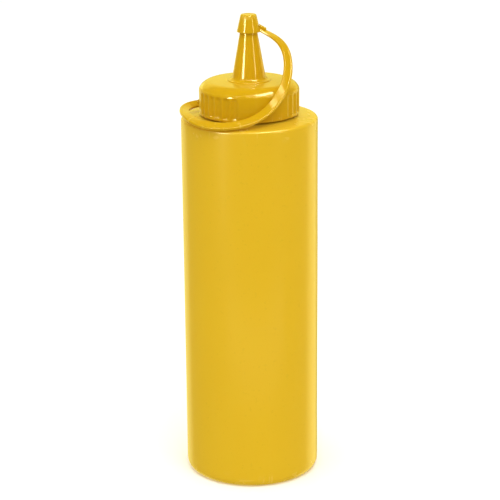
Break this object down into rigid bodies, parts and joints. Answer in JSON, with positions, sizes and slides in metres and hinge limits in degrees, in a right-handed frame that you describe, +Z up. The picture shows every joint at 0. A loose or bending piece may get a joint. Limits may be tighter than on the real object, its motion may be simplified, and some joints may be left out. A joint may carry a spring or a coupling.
{
  "type": "squeeze bottle",
  "caption": "Tall round squeeze bottle for condiments with a scalloped screw cap, cone nozzle and a tip cap on a flat tether strap.",
  "frame": {"origin": "on the bottle's axis in the plane that the bottle stands on", "axes": "+Z up along the bottle, -Y towards the side where the strap crosses in front of the cap, +X towards the side where it rises to the tip"},
  "size_m": [0.0705, 0.07, 0.2442],
  "materials": {
    "bottle_plastic": "satin, faintly translucent soft polyethylene",
    "cap_plastic": "glossy moulded polyethylene",
    "seal_foam": "matt closed-cell foam"
  },
  "bodies": {
    "bottle_body": {"bottle": "bottle_plastic"},
    "seal_body": {"sealing_ring": "seal_foam"},
    "cap_body": {"screw_cap": "cap_plastic", "tether_strap": "cap_plastic"},
    "tip_body": {"tip_cap": "cap_plastic"}
  },
  "joints": [
    {"name": "cap_lift", "type": "slide", "parent": "bottle_body", "child": "seal_body", "axis": [0, 0, 1], "range_m": [0, 0.01275]},
    {"name": "cap_turn", "type": "hinge", "parent": "seal_body", "child": "cap_body", "pos_m": [0, 0, 0.2], "axis": [0, 0, 1], "range_deg": [0, 1080]},
    {"name": "tip_pull", "type": "slide", "parent": "cap_body", "child": "tip_body", "axis": [0, 0, 1], "range_m": [0, 0.012], "deforming": ["tether_strap"]}
  ],
  "couplings": [
    {"joint": "cap_lift", "follows": "cap_turn", "m_per_rad": 0.00067376}
  ]
}
